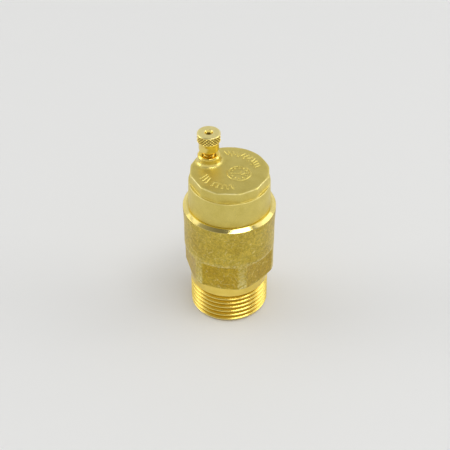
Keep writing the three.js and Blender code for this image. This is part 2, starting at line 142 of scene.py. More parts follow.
CAP_BOTTOM_R = 3.1
CAP_SHANK_R = 4.2
CAP_SHANK_Z = 76.8
CAP_HEAD_R = 4.85
CAP_HEAD_Z = 81.0
CAP_BORE_R = NOZZLE_R + 0.2
CAP_CEILING_Z = 82.0
CAP_DIMPLE_R = 1.8
CAP_DIMPLE_FLOOR_R = 1.3
CAP_DIMPLE_DEPTH = 0.85
KNURL_TEETH = 22
KNURL_DEPTH = 0.42


# ------------------------------------------------------------------ mesh helpers

def make_object(name, vertices_mm, faces, normals=None, sharp_degrees=None):
    """A smooth-shaded mesh object from vertices in millimetres."""
    mesh = bpy.data.meshes.new(name)
    mesh.from_pydata((np.asarray(vertices_mm) * MM).tolist(), [], [list(map(int, f)) for f in faces])
    mesh.shade_smooth()
    if sharp_degrees is not None:
        mesh.set_sharp_from_angle(angle=math.radians(sharp_degrees))
    if normals is not None:
        mesh.normals_split_custom_set_from_vertices(np.asarray(normals).tolist())
    obj = bpy.data.objects.new(name, mesh)
    bpy.context.scene.collection.objects.link(obj)
    return obj


def ring_mesh(name, rows, loop, sharp_degrees=35):
    """Skins rows of points, each row a closed ring running anticlockwise seen from above.

    loop joins the last row to the first; otherwise both end rows are single points on an axis.
    """
    rows = np.asarray(rows)
    count, columns = rows.shape[:2]
    vertices, start, faces = [], [], []
    for i, row in enumerate(rows):
        start.append(len(vertices))
        is_pole = not loop and i in (0, count - 1)
        vertices.extend(row[:1] if is_pole else row)
    for i in range(count if loop else count - 1):
        below, above = i, (i + 1) % count
        for j in range(columns):
            k = (j + 1) % columns
            if not loop and below == 0:
                faces.append((start[0], start[1] + k, start[1] + j))
            elif not loop and above == count - 1:
                faces.append((start[below] + j, start[below] + k, start[above]))
            else:
                faces.append((start[below] + j, start[below] + k, start[above] + k, start[above] + j))
    return make_object(name, vertices, faces, sharp_degrees=sharp_degrees)


def rounded_outline(corners, step=0.5):
    """Points along an outline of (r, z, corner radius), with its corners rounded by arcs."""
    corners = [np.array(c, float) for c in corners]
    points = [corners[0][:2]]
    for before, here, after in zip(corners, corners[1:], corners[2:]):
        radius = here[2]
        into = here[:2] - before[:2]
        out = after[:2] - here[:2]
        into_unit = into / np.linalg.norm(into)
        out_unit = out / np.linalg.norm(out)
        turn = math.acos(np.clip(into_unit @ out_unit, -1, 1))
        if radius <= 0 or turn < 1e-3:
            points.append(here[:2])
            continue
        reach = min(radius * math.tan(turn / 2), 0.49 * np.linalg.norm(into), 0.49 * np.linalg.norm(out))
        first, last = here[:2] - into_unit * reach, here[:2] + out_unit * reach
        pieces = max(2, math.ceil(math.degrees(turn) / 15))
        for i in range(pieces + 1):
            t = i / pieces
            points.append((1 - t) ** 2 * first + 2 * t * (1 - t) * here[:2] + t ** 2 * last)
    points.append(corners[-1][:2])
    dense = [points[0]]
    for a, b in zip(points, points[1:]):
        pieces = max(1, math.ceil(np.linalg.norm(b - a) / step))
        dense.extend(a + (b - a) * i / pieces for i in range(1, pieces + 1))
    return np.array(dense)


def angles(columns):
    return np.arange(columns) * 2 * math.pi / columns


def smooth_min(a, b, width):
    """The smaller of two values, blended where they are closer than width."""
    blend = np.maximum(width - np.abs(a - b), 0) / width
    return np.minimum(a, b) - blend * blend * width / 4


def smooth_max(a, b, width):
    return -smooth_min(-a, -b, width)


def smooth_step(low, high, value):
    t = np.clip((value - low) / (high - low), 0, 1)
    return t * t * (3 - 2 * t)


def surface_net(field, axes):
    """The zero surface of a field (negative inside) on a grid, as vertices and quads."""
    values = field(*np.meshgrid(*axes, indexing="ij"))
    sizes = [len(a) - 1 for a in axes]
    total, count, quads = np.zeros((*sizes, 3)), np.zeros(sizes), []
    for axis in range(3):
        u, v = (axis + 1) % 3, (axis + 2) % 3
        low = [slice(None)] * 3
        high = [slice(None)] * 3
        low[axis], high[axis] = slice(0, -1), slice(1, None)
        edges = np.argwhere((values[tuple(low)] < 0) != (values[tuple(high)] < 0))
        inner = (edges[:, u] > 0) & (edges[:, u] < sizes[u]) & (edges[:, v] > 0) & (edges[:, v] < sizes[v])
        edges = edges[inner]
        ends = edges.copy()
        ends[:, axis] += 1
        first, last = values[tuple(edges.T)], values[tuple(ends.T)]
        share = (first / (first - last))[:, None]
        start_point = np.stack([axes[d][edges[:, d]] for d in range(3)], axis=1)
        end_point = np.stack([axes[d][ends[:, d]] for d in range(3)], axis=1)
        crossing = start_point + share * (end_point - start_point)
        around = []
        for du, dv in ((0, 0), (-1, 0), (-1, -1), (0, -1)):
            cell = edges.copy()
            cell[:, u] += du
            cell[:, v] += dv
            np.add.at(total, tuple(cell.T), crossing)
            np.add.at(count, tuple(cell.T), 1)
            around.append(np.ravel_multi_index(tuple(cell.T), sizes))
        quad = np.stack(around, axis=1)
        quad[first > 0] = quad[first > 0][:, ::-1]
        quads.append(quad)
    used = count > 0
    number = np.full(count.size, -1)
    number[used.ravel()] = np.arange(used.sum())
    return total[used] / count[used][:, None], number[np.concatenate(quads)]


def field_gradient(field, points, reach=0.02):
    gradient = np.empty_like(points)
    for d in range(3):
        ahead, behind = points.copy(), points.copy()
        ahead[:, d] += reach
        behind[:, d] -= reach
        gradient[:, d] = (field(*ahead.T) - field(*behind.T)) / (2 * reach)
    return gradient


def pull_to_surface(field, points, rounds=3, longest=0.08):
    """Moves points onto the field's zero surface, by short steps along its slope."""
    for _ in range(rounds):
        slope = field_gradient(field, points)
        step = field(*points.T)[:, None] * slope / np.maximum((slope ** 2).sum(1), 0.25)[:, None]
        points = points - np.clip(step, -longest, longest)
    slope = field_gradient(field, points)
    return points, slope / np.maximum(np.linalg.norm(slope, axis=1), 1e-6)[:, None]


# ------------------------------------------------------------------ materials

class Shader:
    """A principled material, with short calls for the nodes that drive it."""

    def __init__(self, name, metallic, roughness, sheen=0.0):
        self.material = bpy.data.materials.new(name)
        self.material.use_nodes = True
        self.tree = self.material.node_tree
        self.surface = self.tree.nodes["Principled BSDF"]
        self.surface.inputs["Metallic"].default_value = metallic
        self.surface.inputs["Roughness"].default_value = roughness
        self.surface.inputs["Sheen Weight"].default_value = sheen
        self.place = self.tree.nodes.new("ShaderNodeTexCoord").outputs["Object"]

    def node(self, kind, settings=None, **inputs):
        node = self.tree.nodes.new(kind)
        for key, value in (settings or {}).items():
            setattr(node, key, value)
        for key, value in inputs.items():
            socket = node.inputs[key.replace("_", " ")]
            if isinstance(value, bpy.types.NodeSocket):
                self.tree.links.new(value, socket)
            else:
                socket.default_value = value
        return node

    def noise(self, size_mm, detail=3, distortion=0.0):
        """Noise with features about size_mm across."""
        return self.node("ShaderNodeTexNoise", Vector=self.place, Scale=1000 / size_mm,
                         Detail=detail, Distortion=distortion).outputs["Fac"]

    def stored(self, name):
        """A number kept on the mesh's vertices."""
        return self.node("ShaderNodeAttribute", {"attribute_name": name}).outputs["Fac"]

    def thread_lines(self, size_mm, twist, width):
        """Thin curling lines, like fine scratches, where a twisted noise crosses its middle value."""
        off_middle = self.math("ABSOLUTE", self.math("SUBTRACT", self.noise(size_mm, 1, twist), 0.5))
        return self.ramp(off_middle, (0.0, 1.0), (width, 0.0))

    def ramp(self, factor, *stops):
        """A colour or grey ramp from (position, value) stops."""
        node = self.node("ShaderNodeValToRGB", Fac=factor)
        elements = node.color_ramp.elements
        while len(elements) < len(stops):
            elements.new(0.5)
        for element, (position, value) in zip(elements, stops):
            element.position = position
            element.color = value if isinstance(value, tuple) else (value, value, value, 1)
        return node.outputs["Color"]

    def mix(self, factor, a, b, blend="MIX"):
        node = self.node("ShaderNodeMix", {"data_type": "RGBA", "blend_type": blend})
        for index, value in ((0, factor), (6, a), (7, b)):
            if isinstance(value, bpy.types.NodeSocket):
                self.tree.links.new(value, node.inputs[index])
            else:
                node.inputs[index].default_value = value
        return node.outputs[2]

    def math(self, operation, a, b=0.0):
        node = self.node("ShaderNodeMath", {"operation": operation})
        for index, value in enumerate((a, b)):
            if isinstance(value, bpy.types.NodeSocket):
                self.tree.links.new(value, node.inputs[index])
            else:
                node.inputs[index].default_value = value
        return node.outputs[0]

    def bump(self, height, depth_mm, strength=1.0, after=None):
        settings = {"Height": height, "Distance": depth_mm * MM, "Strength": strength}
        if after is not None:
            settings["Normal"] = after
        return self.node("ShaderNodeBump", **settings).outputs["Normal"]

    def drive(self, **sockets):
        for key, value in sockets.items():
            self.tree.links.new(value, self.surface.inputs[key.replace("_", " ")])
        return self.material


def srgb(red, green, blue):
    """A display colour, 0 to 255, as linear RGBA."""
    linear = [((c / 255 + 0.055) / 1.055) ** 2.4 if c > 10 else c / 3294.6 for c in (red, green, blue)]
    return (*linear, 1.0)


def forged_brass():
    """Hot-forged, tumbled brass: olive gold and mottled, with fine pale scratches, painted shade on its
    wrench flats, and edges that are both worn and lightened as a painted highlight.
    """
    s = Shader("forged_brass", 1.0, 0.42, sheen=0.07)
    painted_shade = s.stored("painted_shade")
    rub_and_highlight = s.stored("rub_and_highlight")
    broad = s.ramp(s.noise(9.0, 2), (0.36, srgb(198, 172, 66)), (0.64, srgb(210, 187, 80)))
    mottle = s.ramp(s.noise(1.3, 6, 0.3), (0.36, 0.8), (0.64, 1.06))
    speck = s.ramp(s.noise(0.5, 3), (0.34, 0.82), (0.66, 1.14))
    skin = s.mix(1.0, s.mix(1.0, broad, mottle, "MULTIPLY"), speck, "MULTIPLY")
    # painted shade: the skin darkened and warmed on the wrench flats
    shaded_flats = s.mix(painted_shade, skin, s.mix(1.0, skin, (0.93, 0.86, 0.58, 1), "MULTIPLY"))
    patches = s.ramp(s.noise(2.4, 2), (0.48, 0.0), (0.6, 0.55))
    scratch = s.mix(1.0, s.thread_lines(4.5, 0.7, 0.022), patches, "MULTIPLY")
    flecks = s.ramp(s.noise(1.7, 2), (0.5, 0.0), (0.62, 0.5))
    tick = s.mix(1.0, s.thread_lines(2.4, 0.4, 0.028), flecks, "MULTIPLY")
    marks = s.mix(1.0, scratch, tick, "ADD")
    # worn edges, lightened also as a painted highlight
    rubbed_and_lit = s.math("MULTIPLY", rub_and_highlight, s.ramp(s.noise(0.9, 6), (0.4, 0.0), (0.6, 1.0)))
    colour = s.mix(rubbed_and_lit, s.mix(marks, shaded_flats, srgb(238, 225, 150)), srgb(238, 226, 158))
    rough = s.ramp(s.noise(1.1, 3), (0.3, 0.36), (0.7, 0.5))
    grain = s.bump(s.noise(0.4, 5), 0.03, 0.7)
    return s.drive(Base_Color=colour, Roughness=rough, Normal=s.bump(marks, 0.01, 0.6, after=grain))


def blasted_brass():
    """Shot-blasted brass: an even, fine satin grain, worn bright along its edges and lightened there as a
    painted highlight.
    """
    s = Shader("blasted_brass", 1.0, 0.45, sheen=0.07)
    cloud = s.ramp(s.noise(5.0, 4), (0.3, srgb(215, 197, 103)), (0.7, srgb(225, 208, 118)))
    grain = s.ramp(s.noise(0.22, 3), (0.35, 0.88), (0.68, 1.06))
    satin = s.mix(1.0, cloud, grain, "MULTIPLY")
    # worn edges, lightened also as a painted highlight
    rubbed_and_lit = s.math("MULTIPLY", s.stored("rub_and_highlight"), s.ramp(s.noise(0.9, 3), (0.35, 0.55), (0.6, 1.0)))
    colour = s.mix(rubbed_and_lit, satin, srgb(250, 238, 170))
    satin_rough = s.ramp(s.noise(0.6, 2), (0.3, 0.42), (0.7, 0.52))
    rough = s.mix(rubbed_and_lit, satin_rough, (0.28, 0.28, 0.28, 1))
    return s.drive(Base_Color=colour, Roughness=rough, Normal=s.bump(s.noise(0.25, 4), 0.014, 0.8))


def turned_brass(name, low, high, roughness, hollow=None):
    """Brass bright from the lathe: fine tool rings round the axis, and darker painted shade in its hollows
    where the mesh marks them.
    """
    s = Shader(name, 1.0, roughness)
    tone = s.ramp(s.noise(4.0, 3), (0.3, low), (0.7, high))
    if hollow is not None:
        # painted shade: the tone darkened by the hollow tint where the mesh marks hollows
        tone = s.mix(s.stored("painted_shade"), tone, s.mix(1.0, tone, hollow, "MULTIPLY"))
    rings = s.node("ShaderNodeTexWave", {"wave_type": "BANDS", "bands_direction": "Z"},
                   Vector=s.place, Scale=1000 / 1.6, Distortion=0.6, Detail=2.0,
                   Detail_Scale=1.0).outputs["Fac"]
    rough = s.ramp(s.noise(0.8, 4), (0.3, roughness * 0.85), (0.75, roughness * 1.25))
    return s.drive(Base_Color=tone, Roughness=rough, Normal=s.bump(rings, 0.0015, 0.35))


def faced_brass():
    """Brass faced flat on the lathe and a little dulled by handling, its colour painted paler as a
    reflection.
    """
    s = Shader("faced_brass", 1.0, 0.3)
    # painted reflection: the tone is paler than the shank's brass
    tone = s.ramp(s.noise(1.6, 4), (0.3, srgb(236, 221, 146)), (0.7, srgb(243, 229, 158)))
    rough = s.ramp(s.noise(0.5, 4), (0.3, 0.27), (0.75, 0.36))
    return s.drive(Base_Color=tone, Roughness=rough, Normal=s.bump(s.noise(0.4, 3), 0.003, 0.4))


def steel():
    s = Shader("stainless_steel", 1.0, 0.3)
    tone = s.ramp(s.noise(2.0, 4), (0.3, srgb(178, 180, 183)), (0.7, srgb(205, 206, 208)))
    rough = s.ramp(s.noise(0.4, 4), (0.3, 0.22), (0.7, 0.38))
    return s.drive(Base_Color=tone, Roughness=rough, Normal=s.bump(s.noise(0.15, 3), 0.004, 0.6))


def moulded(name, dark, light, roughness, depth_mm):
    """Moulded rubber or plastic: faint mottling and a matte skin."""
    s = Shader(name, 0.0, roughness)
    tone = s.ramp(s.noise(3.0, 4), (0.3, dark), (0.7, light))
    rough = s.ramp(s.noise(0.7, 3), (0.3, roughness * 0.85), (0.7, min(1.0, roughness * 1.15)))
    return s.drive(Base_Color=tone, Roughness=rough, Normal=s.bump(s.noise(0.2, 3), depth_mm, 0.6))


MATERIALS = {
    "forged_brass": forged_brass(),
    "blasted_brass": blasted_brass(),
    "turned_brass": turned_brass("turned_brass", srgb(238, 209, 100), srgb(246, 219, 112), 0.14),
    # its hollow tint darkens the thread's grooves as painted shade
    "thread_brass": turned_brass("thread_brass", srgb(235, 206, 100), srgb(243, 216, 114), 0.2,
                                 hollow=(0.62, 0.6, 0.45, 1)),
    "rim_brass": turned_brass("rim_brass", srgb(230, 210, 124), srgb(238, 219, 136), 0.13),
    # its hollow tint darkens the knurl's grooves and the dimple's hole as painted shade
    "cap_brass": turned_brass("cap_brass", srgb(232, 206, 106), srgb(240, 217, 122), 0.17,
                              hollow=(0.22, 0.18, 0.08, 1)),
    "faced_brass": faced_brass(),
    "boss_brass": turned_brass("boss_brass", srgb(220, 200, 112), srgb(230, 211, 124), 0.3),
    "stainless_steel": steel(),
    "spring_steel": turned_brass("spring_steel", srgb(150, 152, 156), srgb(176, 178, 182), 0.25),
    "black_rubber": moulded("black_rubber", srgb(24, 24, 26), srgb(38, 38, 40), 0.7, 0.01),
    "float_plastic": moulded("float_plastic", srgb(222, 218, 206), srgb(236, 233, 224), 0.45, 0.006),
    "washer_plastic": moulded("washer_plastic", srgb(232, 230, 222), srgb(244, 243, 238), 0.5, 0.005),
}


def paint(obj, name, values, ends=None):
    """Stores a number for each vertex, for the materials to read; ends has those of two poles."""
    if ends is not None:
        values = np.concatenate([ends[:1], values, ends[1:]])
    attribute = obj.data.attributes.new(name, "FLOAT", "POINT")
    attribute.data.foreach_set("value", np.ascontiguousarray(values, np.float32))


def polygon_places(obj, axis=(0, 0)):
    """Distance from an upright axis, and height, of the middle of each polygon."""
    centres = np.empty(len(obj.data.polygons) * 3)
    obj.data.polygons.foreach_get("center", centres)
    centres = centres.reshape(-1, 3) / MM
    return np.hypot(centres[:, 0] - axis[0], centres[:, 1] - axis[1]), centres[:, 2]


def dress(obj, body, slot_name, *material_names, replaces=()):
    """Gives a piece its materials and its body, and hides the CAD nodes it stands for."""
    obj.data.materials.clear()
    for name in material_names or (slot_name,):
        obj.data.materials.append(MATERIALS[name])
    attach(obj, body)
    if replaces:
        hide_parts(*replaces)
    return obj


# ------------------------------------------------------------------ body

def flat_reach(theta, apothem, first_angle, sides):
    """Distance from the axis to the nearest of a ring of flats, along each direction."""
    step = 2 * math.pi / sides
    offset = (theta - first_angle + step / 2) % step - step / 2
    return apothem / np.cos(offset)


def whitworth_depth(offset, pitch):
    """Depth below the crest, at a distance from the middle of a groove: 55 degrees, soft root and crest."""
    flank = math.radians(27.5)
    soft = 0.1373 * pitch
    depth = 0.6403 * pitch
    arc = soft * math.cos(flank)
    root = depth - soft + np.sqrt(np.maximum(soft ** 2 - np.minimum(offset, arc) ** 2, 0))
    from_crest = np.maximum(pitch / 2 - offset, 0)
    crest = soft - np.sqrt(np.maximum(soft ** 2 - np.minimum(from_crest, arc) ** 2, 0))
    line = depth - soft * (1 - math.sin(flank)) - (offset - arc) / math.tan(flank)
    return np.where(offset < arc, root, np.where(from_crest < arc, crest, line))


def thread_depth(theta, z, pitch, groove_z, last_turn, fade=0.35):
    """Depth of a right-hand thread's groove at each place.

    One groove crosses the front at groove_z. It is turn 0; the groove fades out just before last_turn.
    """
    turn = (theta / (2 * math.pi) + 0.75) % 1 - 0.5
    groove = np.minimum(np.round((z - groove_z) / pitch - turn), math.floor(last_turn - turn.min() - 0.5))
    along = groove + turn
    offset = np.abs(z - groove_z - along * pitch)
    return whitworth_depth(np.minimum(offset, pitch / 2), pitch) * (
        1 - smooth_step(last_turn - fade, last_turn, along))


def forged_swell(theta, z, depth):
    """A slight unevenness of the forged skin."""
    waves = np.sin(3 * theta + z * 0.31) + np.sin(7 * theta - z * 0.52 + 1.3) + np.sin(z * 0.9 + 5 * theta)
    return depth * waves / 3


def body_outlines():
    """The outside below the flats' ledge, then the outside above it with the whole inside."""
    below = rounded_outline([
        (BORE_R + 1, 0, 0), (THREAD_END_R, 0, 0.1), (THREAD_CREST_R, THREAD_END_CHAMFER, 0.2),
        (THREAD_CREST_R, 15.0, 0.2), (NECK_R, 15.15, 0.2), (NECK_R, NECK_TOP_Z, 0.08),
        (SHOULDER_R, NECK_TOP_Z + 0.02, 0.12), (BODY_R, SHOULDER_TOP_Z, 0.5), (BODY_R, HEX_TOP_Z - 0.8, 0),
    ], step=0.09)
    above = rounded_outline([
        (BODY_R, HEX_TOP_Z + 0.95, 0), (BODY_R, FLARE_START_Z, 3), (RIM_R - 0.04, FLARE_END_Z, 2),
        (RIM_R, RIM_EDGE_Z, 0.1), (RIM_TOP_R, RIM_TOP_Z, 0.08), (SEAT_R, RIM_TOP_Z, 0.2),
        (SEAT_R, SEAT_LEDGE_Z, 0.1), (CHAMBER_R, SEAT_LEDGE_Z, 0.2), (CHAMBER_R, CHAMBER_FLOOR_Z, 0.4),
        (BORE_R, BORE_TOP_Z, 0.4), (BORE_R, 0.5, 0.1), (BORE_R + 0.5, 0, 0.1), (BORE_R + 0.9, 0, 0),
    ], step=0.5)
    return below, above


def flats_ledge(flats, rounds=6):
    """Rows over the top of the wrench flats: a hollow corner, then a rounded edge."""
    inner = smooth_min(np.full(len(flats), BODY_R), flats, 0.25)
    width = BODY_R - inner
    hollow, edge = np.minimum(0.4, width / 2 + 0.02), np.minimum(0.7, width / 2 + 0.02)
    rows = []
    for turn in np.linspace(0, math.pi / 2, rounds):
        rows.append((inner + hollow * (1 - math.cos(turn)), HEX_TOP_Z - hollow * (1 - math.sin(turn))))
    for turn in np.linspace(0, math.pi / 2, rounds):
        rows.append((BODY_R - edge * (1 - math.sin(turn)), HEX_TOP_Z + 0.02 + edge * (1 - math.cos(turn))))
    return np.array([np.stack(np.broadcast_arrays(*row), axis=-1) for row in rows])


def build_body(columns=360):
    theta = angles(columns)
    below, above = body_outlines()
    flats = flat_reach(theta, HEX_APOTHEM, HEX_FLAT_ANGLE, 6)

    r, z = (np.repeat(below[:, i:i + 1], columns, axis=1) for i in (0, 1))
    threaded = (z > 0) & (z < 15.3)
    groove = THREAD_CREST_R - thread_depth(theta, z, THREAD_PITCH, THREAD_TOP_GROOVE_Z, 0.42)
    r = np.where(threaded, smooth_min(r, groove, 0.05), r)
    # the thread's grooves, marked for painted shade
    in_thread = np.clip((THREAD_CREST_R - 0.25 - r) / (0.5 * THREAD_PITCH), 0, 1) * threaded
    r = np.where(z > NECK_TOP_Z + 0.03, smooth_min(r, flats, 0.25), r)
    ledge = flats_ledge(flats)
    upper = np.repeat(above[:, None, :], columns, axis=1)
    profile = np.concatenate([np.stack([r, z], axis=-1), ledge, upper])

    r, z = profile[..., 0], profile[..., 1]
    outside = np.arange(len(profile))[:, None] < len(below) + len(ledge) + len(above) // 2
    skin = smooth_step(20.3, 21.5, z) * (1 - smooth_step(50, 52, z)) * outside * (r > SEAT_R + 0.8)
    # the wrench flats, marked for painted shade
    in_flat = smooth_step(0.05, 0.35, BODY_R - r) * (z > SHOULDER_TOP_Z) * (z < HEX_TOP_Z) * outside
    land = smooth_step(BODY_R - 0.3, BODY_R + 0.1, flats) * smooth_step(20, 21, z)
    land = land * (z < HEX_TOP_Z + 2) * outside
    land = land * (0.35 + 0.5 * smooth_step(27, 21.5, z))
    # the brink over the flats' ledge is lightened as a painted highlight
    brink = np.exp(-((z - HEX_TOP_Z - 0.7) / 0.9) ** 2) * (flats < BODY_R - 0.1) * outside * 0.65
    r = r + skin * forged_swell(theta, z, 0.04)
    body = ring_mesh("brass_body", np.stack([r * np.cos(theta), r * np.sin(theta), z], axis=-1), loop=True,
                     sharp_degrees=40)
    dress(body, "root", "forged_brass", "forged_brass", "thread_brass", "turned_brass", "rim_brass",
          replaces=("body",))
    # painted shade, kept on the vertices: on the wrench flats and in the thread's grooves
    painted_shade = in_flat
    painted_shade[:len(below)] += in_thread
    paint(body, "painted_shade", painted_shade.ravel())
    # worn lands and the painted highlight on the ledge's brink, kept on the vertices
    paint(body, "rub_and_highlight", np.clip(land + brink, 0, 1).ravel())

    r, z = polygon_places(body)
    slots = np.zeros(len(z), dtype=np.int32)
    slots[(z < 15.2) | (r < SEAT_R + 0.3)] = 1
    slots[(z > 15.2) & (z < NECK_TOP_Z + 0.05) & (r > SEAT_R + 0.3)] = 2
    slots[z > RIM_EDGE_Z - 0.05] = 3
    body.data.polygons.foreach_set("material_index", slots)


# ------------------------------------------------------------------ cover

def bars_on_arc(first_deg, last_deg, count, radius, length, lean_deg):
    """Ends of short bars round an arc, each leaning the same way from its own radius."""
    bars = []
    for angle in np.radians(np.linspace(first_deg, last_deg, count)):
        centre = radius * np.array([math.cos(angle), math.sin(angle)])
        lean = angle + math.radians(lean_deg)
        half = length / 2 * np.array([math.cos(lean), math.sin(lean)])
        bars.append((centre - half, centre + half))
    return bars


def segment_distance(x, y, start, end):
    """Distance in the plane from each point to a segment."""
    along = end - start
    t = np.clip(((x - start[0]) * along[0] + (y - start[1]) * along[1]) / max(along @ along, 1e-9), 0, 1)
    return np.hypot(x - start[0] - t * along[0], y - start[1] - t * along[1])


def casting_marks():
    """Plain raised marks: leaning bars and dots in groups, and a month dial with an arrow."""
    strokes = bars_on_arc(96, 72, 4, 11.5, 2.3, 25) + bars_on_arc(62, 44, 3, 11.5, 2.3, -20)
    strokes += bars_on_arc(34, 12, 4, 11.6, 2.3, 20)
    strokes += bars_on_arc(84, 22, 5, 9.4, 0.01, 0)
    strokes += bars_on_arc(-157, -141, 3, 11.3, 3.2, 22)
    strokes += bars_on_arc(-126, -84, 5, 11.5, 2.0, 12) + bars_on_arc(-121, -89, 4, 10.2, 0.01, 0)
    strokes += [(DIAL_CENTRE + start, DIAL_CENTRE + end)
                for start, end in (bars_on_arc(0, 330, 12, DIAL_R - 1.1, 0.5, 0))]
    tip = np.array([2.2, 0.0])
    for start in ((-2.2, 0.0), (1.0, 0.9), (1.0, -0.9)):
        strokes.append((DIAL_CENTRE + start, DIAL_CENTRE + tip))
    return strokes


DIAL_CENTRE = np.array([3.9, -2.4])
DIAL_R = 4.6
MARK_HEIGHT = 0.34
MARK_HALF_WIDTH = 0.3
MARKS = casting_marks()


def mark_height(x, y):
    """Height of the raised marks above the cover's top."""
    nearest = np.abs(np.hypot(x - DIAL_CENTRE[0], y - DIAL_CENTRE[1]) - DIAL_R)
    for start, end in MARKS:
        nearest = np.minimum(nearest, segment_distance(x, y, start, end))
    return MARK_HEIGHT * (1 - smooth_step(MARK_HALF_WIDTH - 0.15, MARK_HALF_WIDTH + 0.22, nearest))


def flats_field(x, y):
    """Distance outside the twelve wrench flats; every second one is shallower."""
    result = None
    for i in range(12):
        angle = FLAT_FIRST_ANGLE + i * math.pi / 6
        apothem = DEEP_APOTHEM if i % 2 == 0 else SHALLOW_APOTHEM
        apothem += FLATS_SHIFT[0] * math.cos(angle) + FLATS_SHIFT[1] * (math.sin(angle) + 1)
        distance = x * math.cos(angle) + y * math.sin(angle) - apothem
        result = distance if result is None else smooth_max(result, distance, 0.12)
    return result


def cover_field(x, y, z):
    """Signed field of the cover, negative in its brass."""
    radius = np.hypot(x, y)
    wall = radius - np.interp(z, [COVER_JOINT_Z, FLATS_Z, COVER_TOP_Z], [COVER_R_LOW, COVER_R_HIGH, 16.7])
    top = z - COVER_TOP_Z - mark_height(x, y) + COVER_DOME * (radius / COVER_R_HIGH) ** 4
    shell = smooth_max(wall, top, 1.6)
    cut = smooth_min(flats_field(x, y), z - FLATS_Z, 0.35)
    shell = smooth_max(shell, cut, 0.3)

    off = np.hypot(x - CAP_AXIS[0], y - CAP_AXIS[1])
    side = off - (BOSS_R - 0.04 * (z - COVER_TOP_Z))
    chamfer = (off + z - BOSS_TOP_Z - BOSS_R + BOSS_CHAMFER + 0.15) * math.sqrt(0.5)
    boss = smooth_max(smooth_max(side, z - BOSS_TOP_Z, 0.06), chamfer, 0.08)
    boss = np.maximum(boss, COVER_TOP_Z - 3 - z)
    shell = smooth_max(smooth_min(shell, boss, 2.0), cut, 0.3)

    shell = smooth_max(shell, COVER_JOINT_Z - 0.05 - z, 0.15)
    spigot = smooth_max(radius - SPIGOT_R, SPIGOT_END_Z - z, 0.4)
    spigot = np.maximum(spigot, z - COVER_JOINT_Z - 1)
    solid = np.minimum(shell, spigot)
    cavity = smooth_max(radius - COVER_INNER_R, z - COVER_CEILING_Z, 1.0)
    solid = smooth_max(solid, -cavity, 0.2)
    return smooth_max(solid, NOZZLE_R + 0.15 - off, 0.12)


def cover_rub_and_highlight(x, y, z):
    """How worn the cover is, and where it is lit up by a painted highlight: most on the brink of the flats'
    ledge and on the edge of its top.
    """
    wall = np.hypot(x, y) - np.interp(z, [COVER_JOINT_Z, FLATS_Z], [COVER_R_LOW, COVER_R_HIGH])
    flats = flats_field(x, y)
    ledge = np.exp(-(wall / 0.3) ** 2 - ((z - FLATS_Z) / 0.3) ** 2) * (flats > 0.05)
    brow = np.exp(-(flats / 0.28) ** 2 - ((z - COVER_TOP_Z + COVER_DOME) / 0.35) ** 2)
    return np.clip(0.75 * ledge + 1.1 * brow, 0, 1)


def graded(*spans):
    """Grid lines over spans of (from, to, step)."""
    parts = [np.arange(a, b, step) for a, b, step in spans]
    return np.concatenate([*parts, [spans[-1][1]]])


def build_cover():
    across = graded((-17.9, 17.9, 0.2))
    upward = graded((SPIGOT_END_Z - 0.7, COVER_JOINT_Z - 0.6, 0.5),
                    (COVER_JOINT_Z - 0.6, COVER_JOINT_Z + 0.6, 0.12),
                    (COVER_JOINT_Z + 0.6, FLATS_Z - 0.8, 0.45),
                    (FLATS_Z - 0.8, BOSS_TOP_Z + 0.5, 0.13))
    vertices, quads = surface_net(cover_field, [across, across, upward])
    vertices, normals = pull_to_surface(cover_field, vertices)
    cover = make_object("brass_cover", vertices, quads, normals=normals)
    dress(cover, "root", "blasted_brass", "blasted_brass", "boss_brass", "turned_brass", replaces=("cover",))
    off, z = polygon_places(cover, CAP_AXIS)
    slots = np.zeros(len(z), dtype=np.int32)
    slots[(off < BOSS_R + 0.9) & (z > COVER_TOP_Z + 0.3)] = 1
    slots[(off < BOSS_R) & (z > BOSS_TOP_Z - BOSS_CHAMFER - 0.1)] = 2
    cover.data.polygons.foreach_set("material_index", slots)
    # worn edges and painted highlights, kept on the cover's vertices
    paint(cover, "rub_and_highlight", cover_rub_and_highlight(*vertices.T))


# ------------------------------------------------------------------ cap and nozzle

def triangle_wave(value):
    """Rises from 0 at whole numbers to 1 midway between them."""
    return 2 * np.abs(value - np.floor(value + 0.5))


